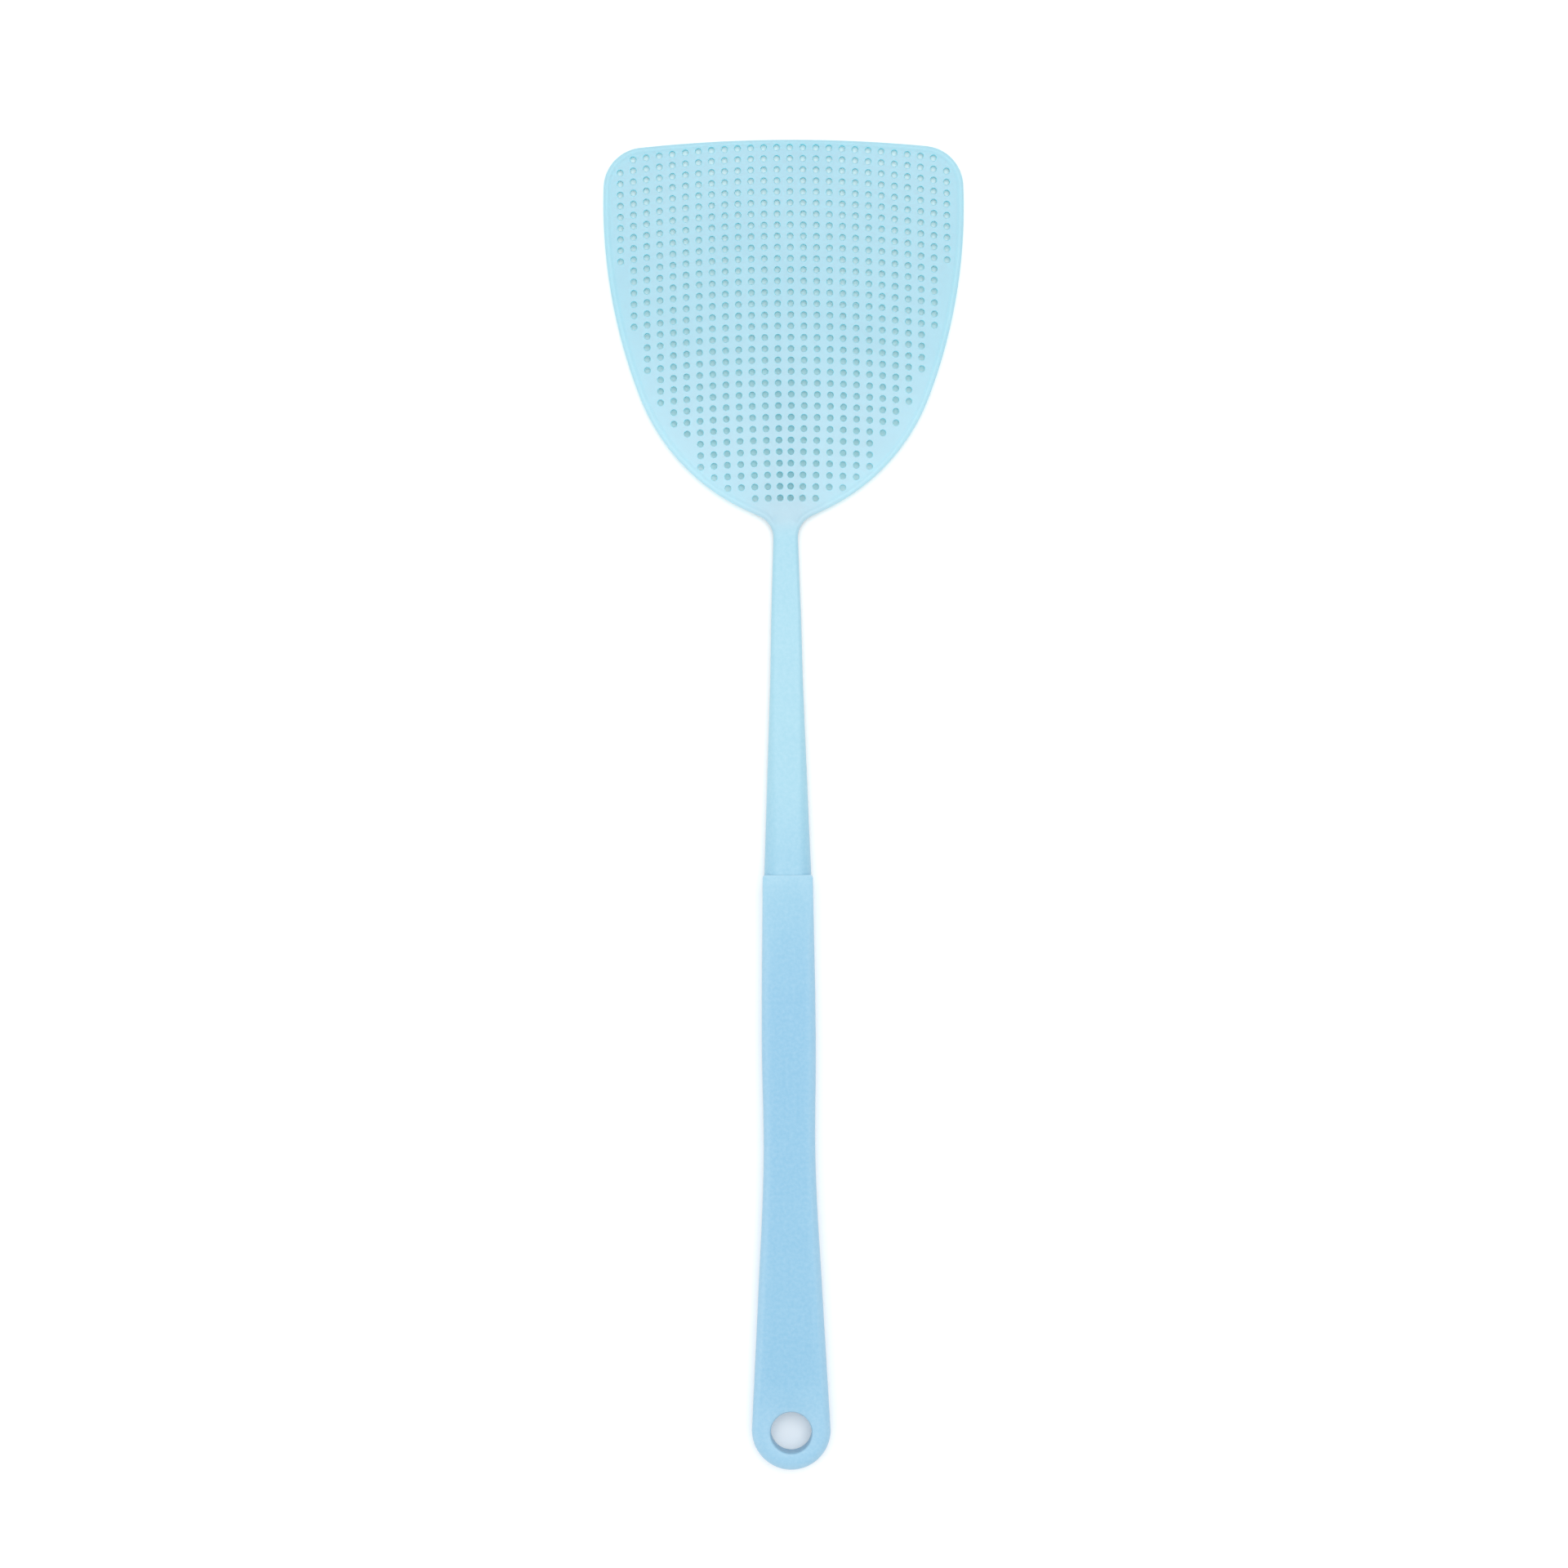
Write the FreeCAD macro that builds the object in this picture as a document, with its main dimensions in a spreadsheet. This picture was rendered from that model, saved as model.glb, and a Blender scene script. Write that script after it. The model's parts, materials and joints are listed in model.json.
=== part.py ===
import FreeCAD, Part
import math
import os

import Sketcher

# A fly swatter lying on its back. +Y runs from the hanging eye to the top of the blade, +Z is up.
# The origin is the middle of the whole swatter, on the plane that it rests on. Lengths are in mm.
# It rests on the flat back of its grip and on the top edge of its blade, so the straight moulding of
# blade, neck and stem slopes down a little from the grip's mouth.

DRIVING_DIMENSIONS = {
    # whole swatter
    "overall_length": 420.0,
    "middle_height": 4.5,
    # blade
    "blade_thickness": 1.3,
    "rim_diameter": 2.2,
    "top_radius": 456.0,
    "top_half_angle": 5.7,
    "corner_radius": 12.9,
    "corner_angle": 82.3,
    "side_radius": 169.8,
    "side_angle": 23.14,
    "cheek_radius": 65.0,
    "cheek_angle": 43.8,
    "root_fillet": 7.35,
    # holes of the blade
    "hole_diameter": 2.0,
    "column_count": 26.0,
    "column_pitch": 4.13,
    "row_count": 32.0,
    "first_row_drop": 2.45,
    "row_pitch": 3.49,
    "row_growth": 0.003,
    "row_bow_radius": 310.0,
    "plain_margin": 4.08,
    "margin_growth": 0.018,
    "short_row": 26.0,
    "draw_in": 0.8,
    "draw_in_reach": 8.0,
    "draw_in_height": 30.0,
    # spine, neck and stem, as stations along the length
    "spine_tip_place": 165.0,
    "spine_tip_width": 3.0,
    "spine_tip_thickness": 1.4,
    "spine_middle_place": 112.0,
    "spine_middle_width": 7.4,
    "spine_middle_thickness": 2.1,
    "root_place": 83.5,
    "root_width": 7.8,
    "root_thickness": 2.4,
    "bend_end_place": 58.0,
    "bend_end_width": 9.5,
    "bend_end_thickness": 2.4,
    "twist_end_place": 38.0,
    "twist_end_width": 10.35,
    "twist_end_thickness": 2.8,
    "shoulder_place": -22.5,
    "stem_width": 14.8,
    "stem_thickness": 8.2,
    # tang and its snap barb
    "tang_width": 9.0,
    "tang_thickness": 3.4,
    "tang_length": 34.0,
    "barb_width": 4.8,
    "barb_length": 3.0,
    "barb_rise": 1.2,
    "barb_back": 26.0,
    # grip
    "grip_thickness": 9.0,
    "grip_shoulder_width": 15.8,
    "grip_palm_place": -75.0,
    "grip_palm_width": 17.0,
    "grip_waist_place": -113.0,
    "grip_waist_width": 16.35,
    "grip_flare_place": -155.0,
    "grip_flare_width": 20.25,
    "grip_end_width": 24.8,
    "front_edge_radius": 2.4,
    "back_edge_radius": 0.9,
    "mouth_edge_radius": 0.4,
    "skin_thickness": 2.0,
    "wall_thickness": 2.2,
    "rib_thickness": 1.4,
    "core_start": -66.0,
    "core_end": -184.0,
    "core_bays": 8.0,
    "socket_clearance": 0.15,
    "window_length": 4.0,
    "eye_diameter": 13.0,
    "eye_place": -198.1,
    "eye_lip_radius": 0.8,
}

doc = FreeCAD.newDocument("fly_swatter")


def make_sheet(dimensions):
    """The driving dimensions, one alias a row."""
    made = doc.addObject("Spreadsheet::Sheet", "dims")
    for row, (alias, value) in enumerate(dimensions.items(), start=1):
        made.set("A%d" % row, alias)
        made.set("B%d" % row, str(value))
        made.setAlias("B%d" % row, alias)
    return made


sheet = make_sheet(DRIVING_DIMENSIONS)
doc.recompute()


def size(alias):
    """A driving dimension as a plain number."""
    return float(sheet.get(alias))


def origin_plane(body, role):
    """One of a body's own origin planes."""
    return next(plane for plane in body.Origin.OriginFeatures if plane.Role == role)


def new_sketch(body, name, role, offset=None):
    """A sketch on an origin plane of its body, moved along the plane's normal by an expression."""
    sketch = body.newObject("Sketcher::SketchObject", name)
    sketch.AttachmentSupport = [(origin_plane(body, role), "")]
    sketch.MapMode = "FlatFace"
    if offset:
        sketch.setExpression("AttachmentOffset.Base.z", offset)
    return sketch


def new_body(label):
    body = doc.addObject("PartDesign::Body", label)
    body.Label = label
    return body


def vector(x, y, z=0.0):
    return FreeCAD.Vector(x, y, z)


# Cross-sections of the spine, neck and stem --------------------------------------------------------


def centre_height(place):
    """The height of the moulding's middle plane at one place along its length."""
    run = size("overall_length") / 2 - size("shoulder_place")
    fall = size("middle_height") - size("rim_diameter") / 2
    return size("middle_height") - fall * (place - size("shoulder_place")) / run


def centre_height_expression(place):
    """The same height as an expression, for the place that a cell holds."""
    fall = "(dims.middle_height - dims.rim_diameter / 2)"
    run = "(dims.overall_length / 2 - dims.shoulder_place)"
    return "dims.middle_height - %s * (dims.%s - dims.shoulder_place) / %s" % (fall, place, run)


def round_ended_section(body, name, station, sloping):
    """A section across the length: two flats joined by half-round edges.

    The XZ plane's normal is -Y, so the sketch is moved by minus the station's place. A sloping
    moulding's sections follow its middle plane down. The spine's don't, because the finished blade
    is tilted as a whole.
    """
    place, width, thickness = station + "_place", station + "_width", station + "_thickness"
    if station == "shoulder":
        width, thickness = "stem_width", "stem_thickness"
    sketch = new_sketch(body, name, "XZ_Plane", "-dims." + place)
    if sloping:
        sketch.setExpression("AttachmentOffset.Base.y", centre_height_expression(place))
    radius = size(thickness) / 2
    reach = size(width) / 2 - radius
    quarter = math.pi / 2
    sketch.addGeometry(Part.LineSegment(vector(-reach, radius), vector(reach, radius)))
    right = Part.Circle(vector(reach, 0), vector(0, 0, 1), radius)
    sketch.addGeometry(Part.ArcOfCircle(right, -quarter, quarter))
    sketch.addGeometry(Part.LineSegment(vector(reach, -radius), vector(-reach, -radius)))
    left = Part.Circle(vector(-reach, 0), vector(0, 0, 1), radius)
    sketch.addGeometry(Part.ArcOfCircle(left, quarter, 3 * quarter))
    for ends in ((0, 2, 1, 2), (1, 1, 2, 1), (2, 2, 3, 2), (3, 1, 0, 1)):
        sketch.addConstraint(Sketcher.Constraint("Tangent", *ends))
    sketch.addConstraint(Sketcher.Constraint("Horizontal", 0))
    sketch.addConstraint(Sketcher.Constraint("Symmetric", 1, 3, 3, 3, -1, 1))
    across = sketch.addConstraint(Sketcher.Constraint("DistanceX", 3, 3, 1, 3, 2 * reach))
    sketch.setExpression("Constraints[%d]" % across, "dims.%s - dims.%s" % (width, thickness))
    edge = sketch.addConstraint(Sketcher.Constraint("Radius", 1, radius))
    sketch.setExpression("Constraints[%d]" % edge, "dims.%s / 2" % thickness)
    return sketch


def add_loft(body, name, stations, sloping=True):
    """A smooth loft through the sections at the named stations."""
    sections = [round_ended_section(body, name + "_at_" + at, at, sloping) for at in stations]
    loft = body.newObject("PartDesign::AdditiveLoft", name)
    loft.Profile = sections[0]
    loft.Sections = sections[1:]
    loft.Ruled = False
    return loft


# Blade ---------------------------------------------------------------------------------------------


def blade_edge(inset):
    """The right half of the blade's outline, from its top middle down to the neck, as edges.

    It is a chain of tangent arcs, a straight cheek and the fillet that runs into the neck. The chain
    lies the inset's distance inside the blade's edge.
    """
    arcs = (
        (size("top_radius"), size("top_half_angle")),
        (size("corner_radius"), size("corner_angle")),
        (size("side_radius"), size("side_angle")),
        (size("cheek_radius"), size("cheek_angle")),
    )
    edges = []
    here = vector(0, size("overall_length") / 2 - inset)
    heading = 0.0
    for radius, angle in arcs:
        radius = radius - inset
        centre = here + vector(math.sin(heading), -math.cos(heading)) * radius
        bearings = [heading - math.radians(angle) * share for share in (0.5, 1.0)]
        middle, end = [centre + vector(-math.sin(b), math.cos(b)) * radius for b in bearings]
        edges.append(Part.Arc(here, middle, end).toShape())
        here = end
        heading = bearings[1]
    turn = -heading - math.pi / 2
    fillet = size("root_fillet") + inset
    neck_edge = size("root_width") / 2 - inset
    cheek_length = (here.x - fillet * (1 - math.cos(turn)) - neck_edge) / math.sin(turn)
    cheek_end = here + vector(math.cos(heading), math.sin(heading)) * cheek_length
    edges.append(Part.LineSegment(here, cheek_end).toShape())
    centre = cheek_end + vector(-math.sin(heading), math.cos(heading)) * fillet
    middle, end = [centre + vector(-math.cos(b), math.sin(b)) * fillet for b in (turn / 2, 0.0)]
    edges.append(Part.Arc(cheek_end, middle, end).toShape())
    edges.append(Part.LineSegment(end, vector(neck_edge, size("root_place"))).toShape())
    return edges


def blade_path():
    """The rim's centre line, from the neck's left side round the blade to its right side."""
    right = Part.Wire(blade_edge(size("rim_diameter") / 2))
    left = right.mirror(vector(0, 0), vector(1, 0, 0))
    edges = Part.sortEdges(right.Edges + left.Edges)[0]
    return Part.Wire(edges)


def half_width_at(edge, place):
    """Half the blade's width at one place along its length."""
    ray = Part.LineSegment(vector(0, place), vector(size("overall_length"), place)).toShape()
    gap, pairs, info = edge.distToShape(ray)
    return pairs[0][0].x if gap < 0.001 else 0.0


def hole_places():
    """The holes' centres: rows bowed round a far centre, in columns that draw in beside the spine."""
    places = []
    edge = Part.Wire(blade_edge(0.0))
    columns = int(size("column_count"))
    bow = size("row_bow_radius")
    reach = size("draw_in_reach")
    last_row = row_place(int(size("row_count")) - 1)
    for row in range(int(size("row_count"))):
        margin = size("plain_margin") + size("margin_growth") * row
        if row == int(size("short_row")):
            margin += size("column_pitch")
        for column in range(columns // 2):
            x = (column + 0.5) * size("column_pitch")
            y = row_place(row) - (bow - math.sqrt(bow * bow - x * x))
            if half_width_at(edge, y) - x < margin:
                continue
            fade = max(0.0, 1 - (y - last_row) / size("draw_in_height"))
            x -= size("draw_in") * fade * x / reach * math.exp(1 - x / reach)
            places.append(vector(x, y))
            places.append(vector(-x, y))
    return places


def row_place(row):
    """A row's place on the middle line. The rows open up a little towards the neck."""
    first = size("overall_length") / 2 - size("first_row_drop")
    return first - size("row_pitch") * row - size("row_growth") * row * row


def make_head():
    """The blade, made flat about its middle plane and then tilted down about its root."""
    path = blade_path()
    outline = doc.addObject("Part::Feature", "blade_outline")
    ends = [path.OrderedVertexes[0].Point, path.OrderedVertexes[-1].Point]
    outline.Shape = Part.Wire(path.Edges + [Part.LineSegment(ends[1], ends[0]).toShape()])
    rim_path = doc.addObject("Part::Feature", "rim_path")
    rim_path.Shape = path

    web = doc.addObject("Part::Extrusion", "blade_web")
    web.Base = outline
    web.Dir = vector(0, 0, 1)
    web.Solid = True
    web.Symmetric = True
    web.setExpression("LengthFwd", "dims.blade_thickness")

    bead = doc.addObject("Part::Circle", "rim_section")
    bead.setExpression("Radius", "dims.rim_diameter / 2")
    bead.Placement = FreeCAD.Placement(ends[0], FreeCAD.Rotation(vector(1, 0, 0), 90))
    rim = doc.addObject("Part::Sweep", "blade_rim")
    rim.Sections = [bead]
    rim.Spine = (rim_path, ["Edge%d" % (n + 1) for n in range(len(path.Edges))])
    rim.Solid = True
    rim.Transition = "Transformed"

    spine = new_body("blade_spine")
    add_loft(spine, "spine_loft", ("spine_tip", "spine_middle", "root"), sloping=False)

    whole = doc.addObject("Part::MultiFuse", "blade_blank")
    whole.Shapes = [web, rim, spine]

    holes = doc.addObject("Part::Feature", "blade_holes")
    radius = size("hole_diameter") / 2
    reach = size("rim_diameter")
    below = vector(0, 0, -reach)
    cutters = [Part.makeCylinder(radius, 2 * reach, place + below) for place in hole_places()]
    holes.Shape = Part.Compound(cutters)

    head = doc.addObject("Part::Cut", "head")
    head.Base = whole
    head.Tool = holes
    head.Label = "head"
    root = size("root_place")
    top = size("overall_length") / 2
    tilt = math.atan2(centre_height(root) - centre_height(top), top - root)
    turn = FreeCAD.Rotation(vector(1, 0, 0), -math.degrees(tilt))
    lean = size("root_thickness") / 2 * math.sin(tilt)
    head.Placement = FreeCAD.Placement(vector(0, lean, centre_height(root)), turn, vector(0, root))
    return head


# Neck and stem -------------------------------------------------------------------------------------


def make_neck(label, stations):
    body = new_body(label)
    add_loft(body, label + "_loft", stations)
    return body


def make_stem():
    """The stem, with the tang that plugs into the grip and the barb that snaps into its window."""
    body = new_body("stem")
    add_loft(body, "stem_loft", ("twist_end", "shoulder"))

    section = new_sketch(body, "tang_section", "XZ_Plane", "-dims.shoulder_place")
    section.setExpression("AttachmentOffset.Base.y", "dims.middle_height")
    centred_rectangle(section, "dims.tang_width", "dims.tang_thickness")
    tang = body.newObject("PartDesign::Pad", "tang")
    tang.Profile = section
    tang.setExpression("Length", "dims.tang_length")

    back = size("middle_height") - size("tang_thickness") / 2
    catch = size("shoulder_place") - size("barb_back")
    sunk = 0.3  # how far the barb's root lies inside the tang
    side = new_sketch(body, "barb_side", "YZ_Plane")
    corners = [
        vector(catch, back + sunk),
        vector(catch, back - size("barb_rise")),
        vector(catch - size("barb_length"), back),
        vector(catch - size("barb_length"), back + sunk),
    ]
    closed_polygon(side, corners)
    barb = body.newObject("PartDesign::Pad", "barb")
    barb.Profile = side
    barb.Midplane = True
    barb.setExpression("Length", "dims.barb_width")
    return body


def centred_rectangle(sketch, width, height):
    """A rectangle about the sketch's origin, its sides bound to two expressions."""
    half_width, half_height = 1.0, 1.0
    corners = [
        vector(-half_width, -half_height),
        vector(half_width, -half_height),
        vector(half_width, half_height),
        vector(-half_width, half_height),
    ]
    closed_polygon(sketch, corners)
    for side in (0, 2):
        sketch.addConstraint(Sketcher.Constraint("Horizontal", side))
    for side in (1, 3):
        sketch.addConstraint(Sketcher.Constraint("Vertical", side))
    sketch.addConstraint(Sketcher.Constraint("Symmetric", 0, 1, 2, 1, -1, 1))
    across = sketch.addConstraint(Sketcher.Constraint("DistanceX", 0, 1, 0, 2, 2 * half_width))
    sketch.setExpression("Constraints[%d]" % across, width)
    up = sketch.addConstraint(Sketcher.Constraint("DistanceY", 1, 1, 1, 2, 2 * half_height))
    sketch.setExpression("Constraints[%d]" % up, height)


def closed_polygon(sketch, corners):
    """Straight edges through the corners and back, joined end to end."""
    first = sketch.GeometryCount
    count = len(corners)
    for n in range(count):
        sketch.addGeometry(Part.LineSegment(corners[n], corners[(n + 1) % count]))
    for n in range(count):
        ends = (first + n, 2, first + (n + 1) % count, 1)
        sketch.addConstraint(Sketcher.Constraint("Coincident", *ends))


# Grip ----------------------------------------------------------------------------------------------


def grip_side():
    """The grip's right side, a smooth curve from its shoulder to the start of the round end."""
    end_radius = size("grip_end_width") / 2
    stations = [
        (size("grip_shoulder_width") / 2, size("shoulder_place")),
        (size("grip_palm_width") / 2, size("grip_palm_place")),
        (size("grip_waist_width") / 2, size("grip_waist_place")),
        (size("grip_flare_width") / 2, size("grip_flare_place")),
        (end_radius, end_radius - size("overall_length") / 2),
    ]
    curve = Part.BSplineCurve()
    curve.interpolate([vector(x, y) for x, y in stations])
    return curve


def grip_half_width(place):
    """Half the grip's width at one place along its length."""
    ray = Part.LineSegment(vector(0, place), vector(size("overall_length"), place)).toShape()
    return grip_side().toShape().distToShape(ray)[1][0][0].x


def cut_checked(body, feature, before):
    """Makes sure that a cut took something away."""
    doc.recompute()
    assert body.Shape.Volume < before - 1.0, feature.Name + " cut nothing"


def edges_across(shape, direction, place):
    """The names of the edges that lie wholly in the plane across X, Y or Z at one place."""
    names = []
    for number, edge in enumerate(shape.Edges, start=1):
        low = getattr(edge.BoundBox, direction + "Min")
        high = getattr(edge.BoundBox, direction + "Max")
        if abs(low - place) < 0.01 and abs(high - place) < 0.01:
            names.append("Edge%d" % number)
    return names


def round_edges(body, name, before, edges, radius):
    """Rounds some edges of the feature before, by a radius from the sheet."""
    fillet = body.newObject("PartDesign::Fillet", name)
    fillet.Base = (before, edges)
    fillet.setExpression("Radius", "dims." + radius)
    doc.recompute()
    return fillet


def make_grip():
    body = new_body("grip")
    right = grip_side()
    left = right.copy()
    left.mirror(vector(0, 0), vector(0, 1))
    end_radius = size("grip_end_width") / 2
    centre = vector(0, end_radius - size("overall_length") / 2)
    shoulder = size("shoulder_place")
    half_shoulder = size("grip_shoulder_width") / 2

    outline = new_sketch(body, "grip_outline", "XY_Plane")
    outline.addGeometry(right)
    outline.addGeometry(left)
    round_end = Part.Circle(centre, vector(0, 0, 1), end_radius)
    outline.addGeometry(Part.ArcOfCircle(round_end, math.pi, 2 * math.pi))
    outline.addGeometry(Part.LineSegment(vector(-half_shoulder, shoulder), vector(half_shoulder, shoulder)))
    blank = body.newObject("PartDesign::Pad", "grip_blank")
    blank.Profile = outline
    blank.setExpression("Length", "dims.grip_thickness")
    doc.recompute()

    mouth = edges_across(blank.Shape, "Y", shoulder)
    rim = [name for name in edges_across(blank.Shape, "Z", size("grip_thickness")) if name not in mouth]
    front = round_edges(body, "front_edge", blank, rim, "front_edge_radius")
    mouth = edges_across(front.Shape, "Y", shoulder)
    rim = [name for name in edges_across(front.Shape, "Z", 0.0) if name not in mouth]
    back = round_edges(body, "back_edge", front, rim, "back_edge_radius")
    round_edges(body, "mouth_edge", back, edges_across(back.Shape, "Y", shoulder), "mouth_edge_radius")

    cut_core(body)
    cut_socket(body)
    cut_eye(body)
    return body


def cut_core(body):
    """Two rows of bays cored out of the back, which leave walls, cross ribs and a middle rib."""
    volume = body.Shape.Volume
    bays = int(size("core_bays"))
    start, end = size("core_start"), size("core_end")
    step = (end - start) / bays
    rib = size("rib_thickness")
    sketch = new_sketch(body, "core_bays_outline", "XY_Plane")
    for bay in range(bays):
        near = start + step * bay - rib / 2
        far = start + step * (bay + 1) + rib / 2
        near_reach = grip_half_width(near) - size("wall_thickness")
        far_reach = grip_half_width(far) - size("wall_thickness")
        for side in (1, -1):
            bay_corners = [
                vector(side * rib / 2, near),
                vector(side * near_reach, near),
                vector(side * far_reach, far),
                vector(side * rib / 2, far),
            ]
            closed_polygon(sketch, bay_corners)
    core = body.newObject("PartDesign::Pocket", "core")
    core.Profile = sketch
    core.Reversed = True
    core.setExpression("Length", "dims.grip_thickness - dims.skin_thickness")
    cut_checked(body, core, volume)


def cut_socket(body):
    """The socket for the tang, and the window in the back that its barb snaps into."""
    volume = body.Shape.Volume
    mouth = new_sketch(body, "socket_mouth", "XZ_Plane", "-dims.shoulder_place")
    mouth.setExpression("AttachmentOffset.Base.y", "dims.middle_height")
    width = "dims.tang_width + 2 * dims.socket_clearance"
    height = "dims.tang_thickness + 2 * dims.socket_clearance"
    centred_rectangle(mouth, width, height)
    socket = body.newObject("PartDesign::Pocket", "socket")
    socket.Profile = mouth
    socket.Reversed = True
    socket.setExpression("Length", "dims.tang_length + 2 * dims.socket_clearance")
    cut_checked(body, socket, volume)

    volume = body.Shape.Volume
    catch = size("shoulder_place") - size("barb_back") + size("socket_clearance")
    half = size("barb_width") / 2 + size("socket_clearance")
    window_corners = [
        vector(-half, catch),
        vector(half, catch),
        vector(half, catch - size("window_length")),
        vector(-half, catch - size("window_length")),
    ]
    outline = new_sketch(body, "latch_window_outline", "XY_Plane")
    closed_polygon(outline, window_corners)
    window = body.newObject("PartDesign::Pocket", "latch_window")
    window.Profile = outline
    window.Reversed = True
    window.setExpression("Length", "dims.middle_height")
    cut_checked(body, window, volume)


def cut_eye(body):
    """The hanging eye, with softened lips."""
    volume = body.Shape.Volume
    sketch = new_sketch(body, "eye_outline", "XY_Plane")
    radius = size("eye_diameter") / 2
    sketch.addGeometry(Part.Circle(vector(0, size("eye_place")), vector(0, 0, 1), radius))
    across = sketch.addConstraint(Sketcher.Constraint("Diameter", 0, 2 * radius))
    sketch.setExpression("Constraints[%d]" % across, "dims.eye_diameter")
    along = sketch.addConstraint(Sketcher.Constraint("DistanceY", 0, 3, -1, 1, -size("eye_place")))
    sketch.setExpression("Constraints[%d]" % along, "-dims.eye_place")
    sketch.addConstraint(Sketcher.Constraint("PointOnObject", 0, 3, -2))
    eye = body.newObject("PartDesign::Pocket", "eye")
    eye.Profile = sketch
    eye.Reversed = True
    eye.Type = "ThroughAll"
    cut_checked(body, eye, volume)

    rims = []
    for number, edge in enumerate(eye.Shape.Edges, start=1):
        curve = edge.Curve
        if isinstance(curve, Part.Circle) and abs(curve.Radius - radius) < 0.001 and len(edge.Vertexes) == 1:
            rims.append("Edge%d" % number)
    lips = body.newObject("PartDesign::Fillet", "eye_lips")
    lips.Base = (eye, rims)
    lips.setExpression("Radius", "dims.eye_lip_radius")


# Whole model ---------------------------------------------------------------------------------------

nodes = [
    make_head(),
    make_neck("upper_neck", ("root", "bend_end")),
    make_neck("lower_neck", ("bend_end", "twist_end")),
    make_stem(),
    make_grip(),
]
doc.recompute()

for item in doc.Objects:
    bad = [state for state in item.State if state in ("Invalid", "Error")]
    assert not bad, "%s is %s" % (item.Label, bad)

os.makedirs("parts", exist_ok=True)
for node in nodes:
    shape = node.Shape
    assert not shape.isNull() and shape.isValid(), node.Label + " has no valid shape"
    assert len(shape.Solids) == 1, node.Label + " isn't one solid"
    shape.exportStep("parts/%s.step" % node.Label)
    box = shape.BoundBox
    reach = (box.XMin, box.YMin, box.ZMin, box.XMax, box.YMax, box.ZMax)
    print(node.Label, "volume %.0f" % shape.Volume, " ".join("%.2f" % value for value in reach))
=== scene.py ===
import json
import math

import bmesh
import bpy
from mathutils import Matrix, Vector
from mathutils.geometry import delaunay_2d_cdt
from mathutils.kdtree import KDTree

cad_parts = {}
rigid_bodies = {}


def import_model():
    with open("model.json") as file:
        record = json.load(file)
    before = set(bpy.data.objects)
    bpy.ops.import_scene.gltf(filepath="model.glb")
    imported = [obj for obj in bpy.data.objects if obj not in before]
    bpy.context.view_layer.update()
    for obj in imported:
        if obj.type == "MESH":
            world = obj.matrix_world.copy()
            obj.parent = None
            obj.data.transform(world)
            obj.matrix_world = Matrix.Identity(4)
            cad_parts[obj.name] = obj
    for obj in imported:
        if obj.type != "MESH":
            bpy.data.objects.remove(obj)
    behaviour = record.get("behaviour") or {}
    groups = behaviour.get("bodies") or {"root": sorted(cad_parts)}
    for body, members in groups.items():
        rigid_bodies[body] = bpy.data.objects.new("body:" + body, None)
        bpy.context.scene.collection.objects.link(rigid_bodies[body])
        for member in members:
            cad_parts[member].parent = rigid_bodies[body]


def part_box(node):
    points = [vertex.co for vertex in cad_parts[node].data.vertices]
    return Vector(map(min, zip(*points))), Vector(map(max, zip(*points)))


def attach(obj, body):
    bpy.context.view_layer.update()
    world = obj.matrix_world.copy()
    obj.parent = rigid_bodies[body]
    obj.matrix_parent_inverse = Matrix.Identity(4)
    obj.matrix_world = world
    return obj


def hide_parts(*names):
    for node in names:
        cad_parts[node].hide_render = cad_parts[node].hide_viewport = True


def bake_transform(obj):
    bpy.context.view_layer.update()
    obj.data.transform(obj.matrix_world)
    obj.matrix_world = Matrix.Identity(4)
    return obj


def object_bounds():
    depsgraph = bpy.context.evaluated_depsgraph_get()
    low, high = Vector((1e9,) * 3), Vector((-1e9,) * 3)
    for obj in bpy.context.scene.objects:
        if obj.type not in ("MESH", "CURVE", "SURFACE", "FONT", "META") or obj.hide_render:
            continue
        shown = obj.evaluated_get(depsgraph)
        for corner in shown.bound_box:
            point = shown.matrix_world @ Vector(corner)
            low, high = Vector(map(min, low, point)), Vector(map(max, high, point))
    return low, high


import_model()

for name in ("Cube", "Light", "Camera"):
    if name in bpy.data.objects:
        bpy.data.objects.remove(bpy.data.objects[name])

cad_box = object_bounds()

# Shapes are worked out in millimetres in the frame of the CAD model and scaled as meshes are made.
MM = 0.001


def box_mm(node):
    """A node's lowest and highest corners, in millimetres."""
    low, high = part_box(node)
    return Vector(low) / MM, Vector(high) / MM


GRIP_LOW, GRIP_HIGH = box_mm("grip")
TOP = box_mm("head")[1].y
ROOT = box_mm("upper_neck")[1].y
BEND_END = box_mm("upper_neck")[0].y
TWIST_END = box_mm("lower_neck")[0].y
SHOULDER = GRIP_HIGH.y
TAIL = GRIP_LOW.y
GRIP_THICKNESS = GRIP_HIGH.z - GRIP_LOW.z

# The blade's edge: tangent arcs (radius, angle) from its top middle, a straight cheek and a fillet.
EDGE_ARCS = ((456.0, 5.7), (12.9, 82.3), (169.8, 23.14), (65.0, 43.8))
ROOT_FILLET = 7.35
RIM_RADIUS = 1.1
RIM_GROWTH = 8.0
WEB_HALF = 0.65

# The mesh steps along the blade's edge: on tight arcs, on wide arcs, and in the cheek and the fillet.
TIGHT_RADIUS = 100.0
TIGHT_STEP = 0.9
WIDE_STEP = 1.6
CHEEK_STEPS = 8
FILLET_STEPS = 12

# Half widths and half thicknesses of the neck and stem at their ends, from the blade down.
NECK_PLACES = (ROOT, BEND_END, TWIST_END, SHOULDER)
NECK_HALF_WIDTHS = (3.9, 4.75, 5.175, 7.4)
NECK_HALF_THICKNESSES = (1.2, 1.2, 1.4, 4.1)
BEND_STEPS = 28
TWIST_STEPS = 22
STEM_STEPS = 30

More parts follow.
